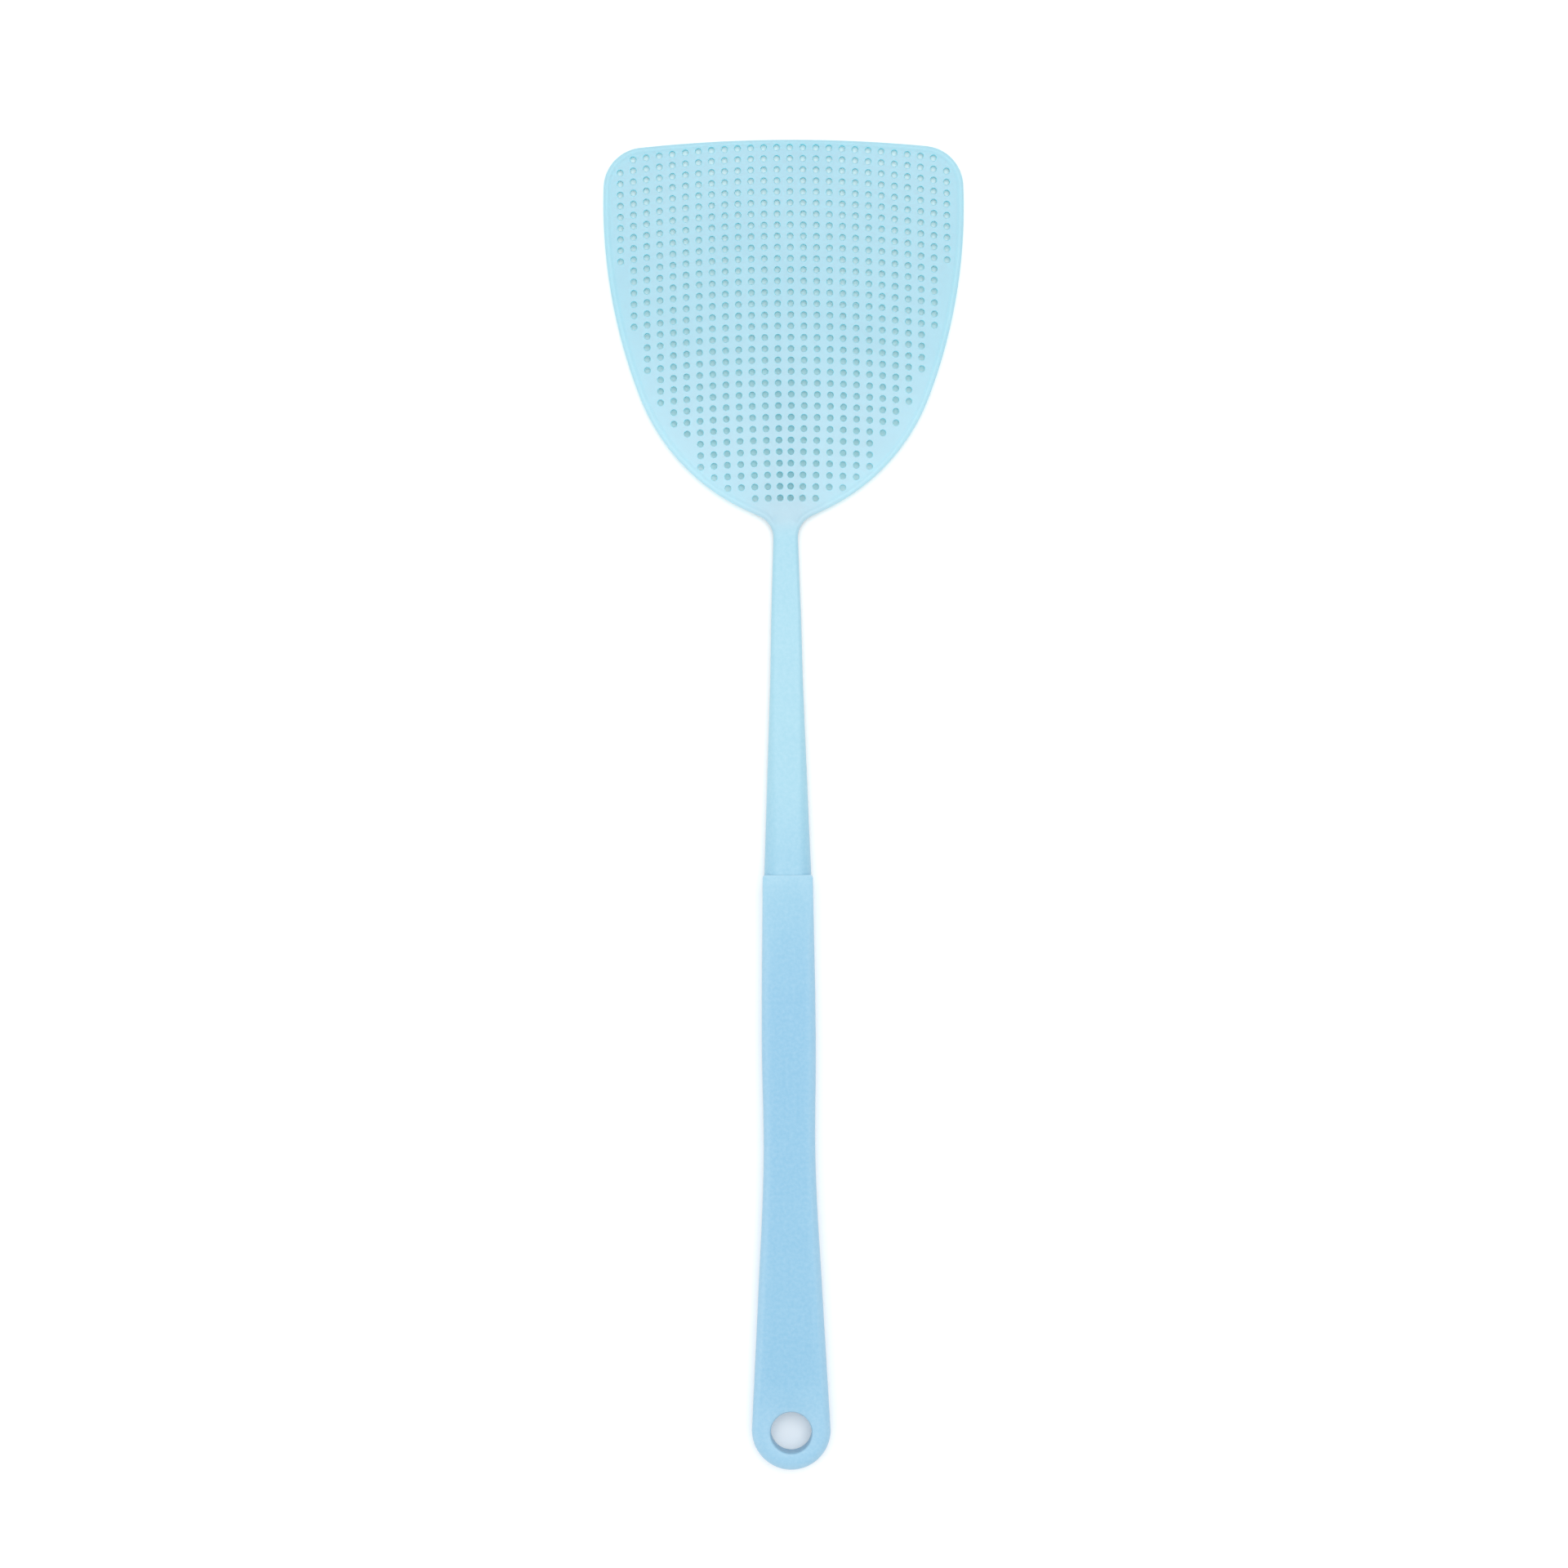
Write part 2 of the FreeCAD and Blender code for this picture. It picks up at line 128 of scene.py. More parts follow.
# The spine that carries the neck's thickness up into the blade. It fades out about its top, falls away
# at its sides and takes in the whole neck near the root.
SPINE_PLACES = (165.0, 112.0, ROOT)
SPINE_HALF_WIDTHS = (1.5, 3.7, 3.9)
SPINE_HALF_THICKNESSES = (0.7, 1.05, 1.2)
SPINE_FADE = 12.0
SPINE_SIDE_START = 1.3
SPINE_SIDE_WIDTH = 1.7
ROOT_MERGE = 4.0

# Holes: bowed rows, in columns that draw in beside the spine. A row stops at the plain margin.
HOLE_RADIUS = 1.0
HOLE_LIP = 0.15
HOLE_CORNERS = 16
FRONT_LIP_ANGLES = (30, 60, 90)
BACK_LIP_ANGLES = (45, 90)
COLUMN_PAIRS = 13
COLUMN_PITCH = 4.13
ROW_COUNT = 32
FIRST_ROW_DROP = 2.45
ROW_PITCH = 3.49
ROW_GROWTH = 0.003
ROW_BOW = 310.0
PLAIN_MARGIN = 4.08
MARGIN_GROWTH = 0.018
SHORT_ROW = 26
DRAW_IN = 0.8
DRAW_IN_REACH = 8.0
DRAW_IN_HEIGHT = 30.0

# The web's mesh: the clear band between the edge's last step and the holes, the least share of those
# steps, how clear of the edge a point between holes is, and how near two points may be.
HOLE_GUARD = 0.15
LEAST_CREST = 0.03
CORNER_CLEARANCE = 0.7
CDT_TOLERANCE = 1e-5

# How far above the root the plastic turns thin enough for light, and how many of the edge's points lie
# from one floor probe to the next.
THIN_REACH = 14.0
FLOOR_PROBE_STEP = 12

# The rounded edge of the moulding, as quarter-round angles, the steps in from its crest, and the angle
# from which an edge of a mesh is shaded sharp.
EDGE_ANGLES = [math.radians(a) for a in (0, 15, 30, 45, 60, 75, 90)]
CREST_STEPS = (0.25, 0.55, 0.9, 1.3)
SHARP_ANGLE = math.radians(35)

# The grip: half widths at places along it, and its round end, eye, edges and cored back.
GRIP_HALF_WIDTHS = (7.9, 8.5, 8.175, 10.125, 12.4)
GRIP_PLACES = (SHOULDER, -75.0, -113.0, -155.0, TAIL + GRIP_HALF_WIDTHS[-1])
MOUTH_ROUND = 0.4
MOUTH_CORNER = 1.1
MOUTH_BLEND = 26.0
FRONT_ROUND = 2.4
GRIP_CROWN = 0.3
BACK_ROUND = 0.9
SIDE_SHARES = (0.35, 0.7)
EYE_PLACE = -198.1
EYE_RADIUS = 6.5
EYE_LIP = 0.8
EYE_LIP_ANGLES = (22.5, 45, 67.5, 90)
EYE_CORNERS = 64
CORE_START = -66.0
CORE_END = -184.0
CORE_BAYS = 8
CORE_CORNER = 1.2
RIB = 1.4
WALL = 2.2
SKIN = 2.0

# A bay's levels, each a height and how far its outline draws in: the mouth's are heights from the
# grip's back, and the floor's are from the bay's floor.
CORE_MOUTH = ((-1.0, -0.4), (-0.05, -0.3), (0.1, -0.1), (0.35, 0.0))
CORE_FLOOR = ((-0.7, 0.12), (-0.2, 0.3), (0.0, 0.8))

# The grip's mesh: steps down its side and round its corners and end, and places across its faces.
MOUTH_PLACES = (0.0, 2.0, 4.0, 5.5)
MOUTH_STEPS = 8
SIDE_STEPS = 64
TAIL_STEPS = 24
FACE_START = 6.0
FACE_STOP = 12.0
FACE_STEP = 4.0
FACE_SHARES = (-0.66, -0.33, 0.0, 0.33, 0.66)
CORNER_STEPS = 4

# The tang and its barb, as width, length and thickness, and the socket and window that hold them.
TANG = (9.0, 34.0, 3.4)
TANG_BEVEL = 0.3
BARB_BACK = 26.0
BARB = (4.8, 3.0, 1.2)
SUNK = 0.5
SOCKET_GAP = 0.15
WINDOW_LENGTH = 4.0
CUT_PAST = 5.0


# Small helpers -------------------------------------------------------------------------------------


def smooth(t):
    """A smooth step from 0 to 1."""
    t = min(1.0, max(0.0, t))
    return t * t * (3 - 2 * t)


def along(place, places, values):
    """A value between stations, with rounded changes of slope. The places run downwards."""
    if place >= places[0]:
        return values[0]
    for n in range(len(places) - 1):
        if place >= places[n + 1]:
            break
    else:
        return values[-1]
    slopes = [(values[k + 1] - values[k]) / (places[k + 1] - places[k]) for k in range(len(places) - 1)]

    def slope_at(k):
        if k == 0:
            return slopes[0]
        if k == len(places) - 1:
            return slopes[-1]
        return (slopes[k - 1] + slopes[k]) / 2

    span = places[n + 1] - places[n]
    t = (place - places[n]) / span
    start, end = slope_at(n) * span, slope_at(n + 1) * span
    t2, t3 = t * t, t * t * t
    low = (2 * t3 - 3 * t2 + 1) * values[n] + (t3 - 2 * t2 + t) * start
    return low + (3 * t2 - 2 * t3) * values[n + 1] + (t3 - t2) * end


def straight(place, places, values):
    """A value between stations, on straight lines. The places run downwards."""
    for n in range(len(places) - 1):
        if place >= places[n + 1]:
            break
    share = (place - places[n]) / (places[n + 1] - places[n])
    return values[n] + (values[n + 1] - values[n]) * share


def centre_height(place):
    """The height of the moulding's middle plane, which slopes from the grip to the blade's top."""
    fall = GRIP_THICKNESS / 2 - RIM_RADIUS
    return GRIP_THICKNESS / 2 - fall * (place - SHOULDER) / (TOP - SHOULDER)


def tree_of(places):
    """A search tree over flat places, numbered in their order."""
    tree = KDTree(len(places))
    for number, place in enumerate(places):
        tree.insert((place.x, place.y, 0.0), number)
    tree.balance()
    return tree


def bearing_vector(bearing):
    """A unit vector at an angle from +X."""
    return Vector((math.cos(bearing), math.sin(bearing)))


def loop_edges(ids):
    """The edges of a closed loop, as pairs of its points' numbers."""
    return list(zip(ids, ids[1:] + ids[:1]))


def round_hole(hole, reach):
    """The points of a ring round a hole's centre."""
    bearings = [2 * math.pi * (n + 0.5) / HOLE_CORNERS for n in range(HOLE_CORNERS)]
    return [hole + bearing_vector(bearing) * reach for bearing in bearings]


def close_ends(bm, rings):
    """Flat faces over the first ring and the last."""
    bm.faces.new(rings[0])
    bm.faces.new(list(reversed(rings[-1])))


def make_object(name, bm):
    """A mesh object from millimetres, smooth except over its sharp edges."""
    bmesh.ops.recalc_face_normals(bm, faces=bm.faces)
    bmesh.ops.scale(bm, vec=(MM, MM, MM), verts=bm.verts)
    mesh = bpy.data.meshes.new(name)
    bm.to_mesh(mesh)
    bm.free()
    mesh.shade_smooth()
    mesh.set_sharp_from_angle(angle=SHARP_ANGLE)
    made = bpy.data.objects.new(name, mesh)
    bpy.context.scene.collection.objects.link(made)
    return made


# Blade outline -------------------------------------------------------------------------------------


def blade_edge():
    """Points down the blade's right edge with their outward directions, from its top middle."""
    here = Vector((0.0, TOP))
    heading = 0.0
    places = [(here.copy(), Vector((0.0, 1.0)))]
    for radius, angle in EDGE_ARCS:
        angle = math.radians(angle)
        centre = here + Vector((math.sin(heading), -math.cos(heading))) * radius
        steps = max(8, int(radius * angle / (TIGHT_STEP if radius < TIGHT_RADIUS else WIDE_STEP)))
        for n in range(1, steps + 1):
            bearing = heading - angle * n / steps
            out = Vector((-math.sin(bearing), math.cos(bearing)))
            places.append((centre + out * radius, out))
        here = places[-1][0]
        heading -= angle
    turn = -heading - math.pi / 2
    out = places[-1][1]
    run = (here.x - ROOT_FILLET * (1 - math.cos(turn)) - NECK_HALF_WIDTHS[0]) / math.sin(turn)
    direction = Vector((math.cos(heading), math.sin(heading)))
    for n in range(1, CHEEK_STEPS + 1):
        places.append((here + direction * run * n / CHEEK_STEPS, out))
    cheek_end = places[-1][0]
    centre = cheek_end + out * ROOT_FILLET
    for n in range(1, FILLET_STEPS + 1):
        bearing = heading + turn * n / FILLET_STEPS
        out = Vector((-math.sin(bearing), math.cos(bearing)))
        places.append((centre - out * ROOT_FILLET, out))
    places.append((Vector((NECK_HALF_WIDTHS[0], ROOT)), Vector((1.0, 0.0))))
    return places


EDGE = blade_edge()
EDGE_TREE = tree_of([place for place, _ in EDGE])


def edge_distance(at):
    """How far in from the blade's edge a point of the blade is."""
    _, number, _ = EDGE_TREE.find((abs(at.x), at.y, 0.0))
    point, out = EDGE[number]
    return (point - Vector((abs(at.x), at.y))).dot(out)


def half_width_at(place):
    """Half the blade's width at a place, or 0 past the top."""
    for (high, _), (low, _) in zip(EDGE, EDGE[1:]):
        if high.y >= place >= low.y and high.y > low.y:
            share = (high.y - place) / (high.y - low.y)
            return high.x + (low.x - high.x) * share
    return 0.0


def row_place(row):
    """A row's place on the middle line. The rows open up a little towards the neck."""
    return TOP - FIRST_ROW_DROP - ROW_PITCH * row - ROW_GROWTH * row * row


def grid_place(row, column):
    """A place on the holes' grid, where whole numbers and halves are hole centres."""
    x = column * COLUMN_PITCH
    y = row_place(row) - (ROW_BOW - math.sqrt(ROW_BOW * ROW_BOW - x * x))
    fade = max(0.0, 1 - (y - row_place(ROW_COUNT - 1)) / DRAW_IN_HEIGHT)
    pull = DRAW_IN * fade * abs(x) / DRAW_IN_REACH * math.exp(1 - abs(x) / DRAW_IN_REACH)
    return Vector((x - math.copysign(pull, x), y)), x


def holes_and_corners():
    """The holes' centres, and the points between them that the web's mesh also passes through."""
    holes = []
    corners = {}
    for row in range(ROW_COUNT):
        margin = PLAIN_MARGIN + MARGIN_GROWTH * row
        if row == SHORT_ROW:
            margin += COLUMN_PITCH
        for pair in range(COLUMN_PAIRS):
            for side in (-1, 1):
                column = side * (pair + 0.5)
                centre, regular_x = grid_place(row, column)
                if half_width_at(centre.y) - abs(regular_x) < margin:
                    continue
                holes.append(centre)
                for d_row in (-0.5, 0.5):
                    for d_column in (-0.5, 0.5):
                        key = (row + d_row, column + d_column)
                        corners[key] = grid_place(*key)[0]
    return holes, list(corners.values())


# Blade ---------------------------------------------------------------------------------------------


def edge_round(x_in, radius):
    """The share of full thickness at a distance in from a rounded edge."""
    if x_in >= radius:
        return 1.0
    return math.sqrt(max(0.0, 1 - (1 - x_in / radius) ** 2))


def edge_radius(place):
    """The rim's radius, which grows into the neck's half thickness at the root."""
    growth = smooth((ROOT + RIM_GROWTH - place) / RIM_GROWTH)
    return RIM_RADIUS + (NECK_HALF_THICKNESSES[0] - RIM_RADIUS) * growth


def blade_half_thickness(x, y, x_in):
    """Half the blade's thickness: its web, the rim at its edge and the spine up its middle."""
    radius = edge_radius(y)
    rim = WEB_HALF
    if x_in < radius + CREST_STEPS[-1]:
        rim = radius - (radius - WEB_HALF) * smooth((x_in - radius) / CREST_STEPS[-1])
    spine = WEB_HALF
    if y < SPINE_PLACES[0] + SPINE_FADE:
        half_width = along(y, SPINE_PLACES, SPINE_HALF_WIDTHS)
        crest = along(y, SPINE_PLACES, SPINE_HALF_THICKNESSES)
        rise = smooth((SPINE_PLACES[0] + SPINE_FADE - y) / (2 * SPINE_FADE))
        crest = WEB_HALF + (crest - WEB_HALF) * rise
        fall = smooth((abs(x) - half_width + SPINE_SIDE_START) / SPINE_SIDE_WIDTH)
        spine = crest - (crest - WEB_HALF) * fall
        if y < ROOT + ROOT_MERGE:
            spine = max(spine, crest * smooth((ROOT + ROOT_MERGE - y) / ROOT_MERGE))
    return edge_round(x_in, radius) * max(rim, spine)


def cut_steps(radius, share=1.0):
    """Distances in from an edge of one radius, from the edge to past its crest."""
    return [radius * (1 - math.cos(a)) for a in EDGE_ANGLES] + [radius + s * share for s in CREST_STEPS]


def crest_shares(edge, holes):
    """For each point of the edge, the part of the steps past the crest that fits before the holes."""
    tree = tree_of(holes)
    shares = []
    for point, _ in edge:
        distance = tree.find((point.x, point.y, 0.0))[2]
        room = distance - HOLE_RADIUS - HOLE_LIP - HOLE_GUARD - edge_radius(point.y)
        shares.append(min(1.0, max(LEAST_CREST, room / CREST_STEPS[-1])))
    return [min(shares[max(0, n - 2):n + 3]) for n in range(len(shares))]


def build_head():
    """The blade: its rounded edge from rings of steps, then its web round the holes, on both faces."""
    bm = bmesh.new()
    right = EDGE
    left = [(Vector((-p.x, p.y)), Vector((-o.x, o.y))) for p, o in reversed(EDGE[1:])]
    edge = left + right
    holes, corners = holes_and_corners()
    shares = crest_shares(edge, holes)
    rims = {}
    inner = []
    for j, (point, out) in enumerate(edge):
        for i, x_in in enumerate(cut_steps(edge_radius(point.y), shares[j])):
            at = point - out * x_in
            half = blade_half_thickness(at.x, at.y, x_in)
            middle = centre_height(at.y)
            rims[j, i, 1] = bm.verts.new((at.x, at.y, middle + half))
            rims[j, i, -1] = rims[j, i, 1] if i == 0 else bm.verts.new((at.x, at.y, middle - half))
        inner.append(at)
    last = len(EDGE_ANGLES) + len(CREST_STEPS) - 1
    for j in range(len(edge) - 1):
        for i in range(last):
            for side in (1, -1):
                ids = ((j, i), (j + 1, i), (j + 1, i + 1), (j, i + 1))
                patch = [rims[k, m, side] for k, m in ids[::side]]
                bm.faces.new(list(dict.fromkeys(patch)))

    flat = list(inner)
    border = len(flat)
    flat.append(Vector((0.0, ROOT)))
    edges = loop_edges(list(range(border + 1)))
    owner = {}
    rings = []
    for hole in holes:
        ring = list(range(len(flat), len(flat) + HOLE_CORNERS))
        owner.update((n, len(rings)) for n in ring)
        flat += round_hole(hole, HOLE_RADIUS + HOLE_LIP)
        edges += loop_edges(ring)
        rings.append(ring)
    flat += [c for c in corners if far_inside(c, inner)]
    points, _, faces, origins, _, _ = delaunay_2d_cdt(flat, edges, [], 1, CDT_TOLERANCE)
    if not all(origins):
        raise RuntimeError("the lines of the web cross")
    source = [o[0] for o in origins]

    placed = {}

    def web_vertex(n, side):
        """The mesh vertex for one flat point on one face of the web."""
        if (n, side) not in placed:
            original = source[n]
            if original < border:
                placed[n, side] = rims[original, last, side]
            else:
                at = points[n]
                half = blade_half_thickness(at.x, at.y, edge_distance(at))
                placed[n, side] = bm.verts.new((at.x, at.y, centre_height(at.y) + side * half))
        return placed[n, side]

    for face in faces:
        owners = {owner.get(source[n], -1 - n) for n in face}
        if len(owners) == 1:
            continue
        for side in (1, -1):
            ids = face if side > 0 else list(reversed(face))
            bm.faces.new([web_vertex(n, side) for n in ids])

    by_source = {o: n for n, o in enumerate(source)}
    for ring, hole in zip(rings, holes):
        line_hole(bm, hole, [[web_vertex(by_source[k], side) for k in ring] for side in (1, -1)])
    close_root(bm, rims, last, len(edge) - 1, placed, by_source, border)
    blade = make_object("blade", bm)
    mark_blade(blade, holes)
    return blade


def mark_blade(blade, holes):
    """Two mesh attributes: 1 on the holes' walls and inner lips, where shade is painted, and a rise from
    the thick root to the thin web.
    """
    tree = tree_of(holes)
    wall_reach = HOLE_RADIUS + HOLE_LIP * 0.6
    places = [vertex.co / MM for vertex in blade.data.vertices]
    wall_shade = blade.data.attributes.new("hole_wall_shade", "FLOAT", "POINT")
    for place, mark in zip(places, wall_shade.data):
        mark.value = 1.0 if tree.find((place.x, place.y, 0.0))[2] < wall_reach else 0.0
    thin = blade.data.attributes.new("thin", "FLOAT", "POINT")
    for place, mark in zip(places, thin.data):
        mark.value = smooth((place.y - ROOT) / THIN_REACH)


def far_inside(point, loop):
    """True for a point inside a closed loop and clear of its corners."""
    if min((point - corner).length for corner in loop) < CORNER_CLEARANCE:
        return False
    crossings = 0
    for a, b in zip(loop, loop[1:] + loop[:1]):
        if (a.y > point.y) != (b.y > point.y):
            crossings += point.x < a.x + (b.x - a.x) * (point.y - a.y) / (b.y - a.y)
    return crossings % 2 == 1


def line_hole(bm, hole, outer):
    """The rounded lips and the wall of one hole, from its outer ring on both faces."""
    levels = []
    for side, ring, angles in ((1, outer[0], FRONT_LIP_ANGLES), (-1, outer[1], BACK_LIP_ANGLES)):
        chain = [ring]
        for angle in angles:
            a = math.radians(angle)
            made = []
            for start, at in zip(ring, round_hole(hole, HOLE_RADIUS + HOLE_LIP * (1 - math.sin(a)))):
                z = start.co.z - side * HOLE_LIP * (1 - math.cos(a))
                made.append(bm.verts.new((at.x, at.y, z)))
            chain.append(made)
        levels += chain if side > 0 else list(reversed(chain))
    for upper, lower in zip(levels, levels[1:]):
        for n in range(HOLE_CORNERS):
            m = (n + 1) % HOLE_CORNERS
            bm.faces.new((upper[m], upper[n], lower[n], lower[m]))


def close_root(bm, rims, last, end, placed, by_source, border):
    """The flat end where the blade's neck is joined on."""
    middle = by_source[border]
    top = [rims[0, i, 1] for i in range(last + 1)] + [placed[middle, 1]]
    top += [rims[end, i, 1] for i in range(last, -1, -1)]
    low = [rims[end, i, -1] for i in range(1, last + 1)] + [placed[middle, -1]]
    low += [rims[0, i, -1] for i in range(last, 0, -1)]
    bm.faces.new(top + low)


# Neck and stem -------------------------------------------------------------------------------------


def cross_section(bm, place, half_width, half_thickness, middle):
    """One ring across the neck or stem, clockwise from its left edge over the front."""
    steps = cut_steps(half_thickness)
    profile = [(-(half_width - s), edge_round(s, half_thickness) * half_thickness) for s in steps]
    profile.append((0.0, half_thickness))
    profile += [(-x, h) for x, h in reversed(profile[:-1])]
    ring = [bm.verts.new((x, place, middle + h)) for x, h in profile]
    ring += [bm.verts.new((x, place, middle - h)) for x, h in reversed(profile[1:-1])]
    return ring


def join_rings(bm, rings):
    """Skin between rings of equal count, one after another."""
    for upper, lower in zip(rings, rings[1:]):
        count = len(upper)
        for n in range(count):
            m = (n + 1) % count
            bm.faces.new((upper[n], upper[m], lower[m], lower[n]))


def neck_ring(bm, place):
    """The neck's or stem's cross-section at one place."""
    half_width = straight(place, NECK_PLACES, NECK_HALF_WIDTHS)
    half_thickness = straight(place, NECK_PLACES, NECK_HALF_THICKNESSES)
    return cross_section(bm, place, half_width, half_thickness, centre_height(place))


def build_neck(name, high, low, count):
    """A length of the neck between two places, closed at both ends."""
    bm = bmesh.new()
    rings = [neck_ring(bm, high + (low - high) * n / count) for n in range(count + 1)]
    join_rings(bm, rings)
    close_ends(bm, rings)
    return make_object(name, bm)


def box_mesh(low, high, bevel=0.0):
    """A box from corner to corner, as a bmesh. Its edges are rounded where a bevel is given."""
    bm = bmesh.new()
    spans = list(zip(low, high))
    v = [bm.verts.new((x, y, z)) for x in spans[0] for y in spans[1] for z in spans[2]]
    for ids in ((0, 1, 3, 2), (4, 6, 7, 5), (0, 4, 5, 1), (2, 3, 7, 6), (0, 2, 6, 4), (1, 5, 7, 3)):
        bm.faces.new([v[i] for i in ids])
    bmesh.ops.recalc_face_normals(bm, faces=bm.faces)
    if bevel:
        bmesh.ops.bevel(bm, geom=bm.edges[:], offset=bevel, segments=3, profile=0.5, affect="EDGES")
    return bm


def combine(target, tool, operation):
    """Adds or cuts one closed mesh object to or from another, and drops the tool."""
    modifier = target.modifiers.new("combine", "BOOLEAN")
    modifier.operation = operation
    modifier.solver = "EXACT"
    modifier.object = tool
    bpy.context.view_layer.update()
    graph = bpy.context.evaluated_depsgraph_get()
    made = bpy.data.meshes.new_from_object(target.evaluated_get(graph))
    target.modifiers.clear()
    old = target.data
    target.data = made
    bpy.data.meshes.remove(old)
    bpy.data.objects.remove(tool)
    made.shade_smooth()
    made.set_sharp_from_angle(angle=SHARP_ANGLE)


def build_stem():
    """The stem down to its shoulder, with the tang and barb that plug into the grip."""
    stem = build_neck("stem_moulding", TWIST_END, SHOULDER, STEM_STEPS)
    width, length, thickness = TANG
    middle = GRIP_THICKNESS / 2
    low = (-width / 2, SHOULDER - length, middle - thickness / 2)
    high = (width / 2, SHOULDER + SUNK, middle + thickness / 2)
    combine(stem, make_object("tang", box_mesh(low, high, TANG_BEVEL)), "UNION")
    barb_width, barb_length, rise = BARB
    bm = bmesh.new()
    back = low[2]
    catch = SHOULDER - BARB_BACK
    toe = catch - barb_length
    profile = [(catch, back + SUNK), (catch, back - rise), (toe, back), (toe, back + SUNK)]
    sides = []
    for x in (-barb_width / 2, barb_width / 2):
        sides.append([bm.verts.new((x, y, z)) for y, z in profile])
    join_rings(bm, sides)
    close_ends(bm, sides)
    combine(stem, make_object("barb", bm), "UNION")
    return stem


# Grip ----------------------------------------------------------------------------------------------


def grip_half_width(place):
    """Half the grip's width at a place along its length."""
    return along(place, GRIP_PLACES, GRIP_HALF_WIDTHS)


def grip_edge():
    """Points down the grip's right side with outward directions, from its mouth's middle to its tail."""
    corner = MOUTH_CORNER
    places = [(Vector((x, SHOULDER)), Vector((0.0, 1.0))) for x in MOUTH_PLACES]
    side_start, side_end = SHOULDER - corner, GRIP_PLACES[-1]
    centre = Vector((grip_half_width(side_start) - corner, side_start))
    for n in range(MOUTH_STEPS + 1):
        out = bearing_vector(math.pi / 2 - math.pi / 2 * n / MOUTH_STEPS)
        places.append((centre + out * corner, out))
    for n in range(1, SIDE_STEPS + 1):
        y = side_start + (side_end - side_start) * n / SIDE_STEPS
        slope = 0.0
        if n < SIDE_STEPS:
            slope = grip_half_width(y + 0.5) - grip_half_width(y - 0.5)
        out = Vector((1.0, -slope)).normalized()
        places.append((Vector((grip_half_width(y), y)), out))
    radius = GRIP_HALF_WIDTHS[-1]
    for n in range(1, TAIL_STEPS + 1):
        out = bearing_vector(-math.pi / 2 * n / TAIL_STEPS)
        places.append((Vector((0.0, side_end)) + out * radius, out))
    return places


def grip_front_height(x):
    """The front face's height, crowned across the grip."""
    return GRIP_THICKNESS - GRIP_CROWN * (x / GRIP_HALF_WIDTHS[-1]) ** 2


def build_grip():
    """The grip moulding: a rounded slab with its eye, less its core, its socket and its window."""
    bm = bmesh.new()
    right = grip_edge()
    left = [(Vector((-p.x, p.y)), Vector((-o.x, o.y))) for p, o in reversed(right[1:-1])]
    edge = right + left

    def front_round(place):
        """The front edge's radius, which tightens towards the mouth."""
        return MOUTH_ROUND + (FRONT_ROUND - MOUTH_ROUND) * smooth((SHOULDER - place) / MOUTH_BLEND)

    rings = []
    for a in EDGE_ANGLES:
        z = BACK_ROUND * (1 - math.cos(a))
        ring = [point - out * BACK_ROUND * (1 - math.sin(a)) for point, out in edge]
        rings.append([bm.verts.new((at.x, at.y, z)) for at in ring])
    for share in SIDE_SHARES:
        ring = []
        for point, out in edge:
            top = GRIP_THICKNESS - front_round(point.y) - GRIP_CROWN
            ring.append(bm.verts.new((point.x, point.y, BACK_ROUND + (top - BACK_ROUND) * share)))
        rings.append(ring)
    for a in EDGE_ANGLES:
        ring = []
        for point, out in edge:
            radius = front_round(point.y)
            at = point - out * radius * (1 - math.cos(a))
            z = grip_front_height(at.x) - radius * (1 - math.sin(a))
            ring.append(bm.verts.new((at.x, at.y, z)))
        rings.append(ring)
    join_rings(bm, rings)
    back_lip = fill_face(bm, rings[0], lambda x: 0.0, 1)
    front_lip = fill_face(bm, rings[-1], grip_front_height, -1)
    join_rings(bm, [back_lip, front_lip])
    grip = make_object("grip_moulding", bm)
    combine(grip, make_object("core", core_cutters()), "DIFFERENCE")
    width, length, thickness = TANG
    gap = SOCKET_GAP
    middle = GRIP_THICKNESS / 2
    low = (-width / 2 - gap, SHOULDER - length - 2 * gap, middle - thickness / 2 - gap)
    high = (width / 2 + gap, SHOULDER + CUT_PAST, middle + thickness / 2 + gap)
    combine(grip, make_object("socket", box_mesh(low, high)), "DIFFERENCE")
    catch = SHOULDER - BARB_BACK + gap
    low = (-BARB[0] / 2 - gap, catch - WINDOW_LENGTH, -CUT_PAST)
    high = (BARB[0] / 2 + gap, catch, middle)
    combine(grip, make_object("window", box_mesh(low, high)), "DIFFERENCE")
    return grip


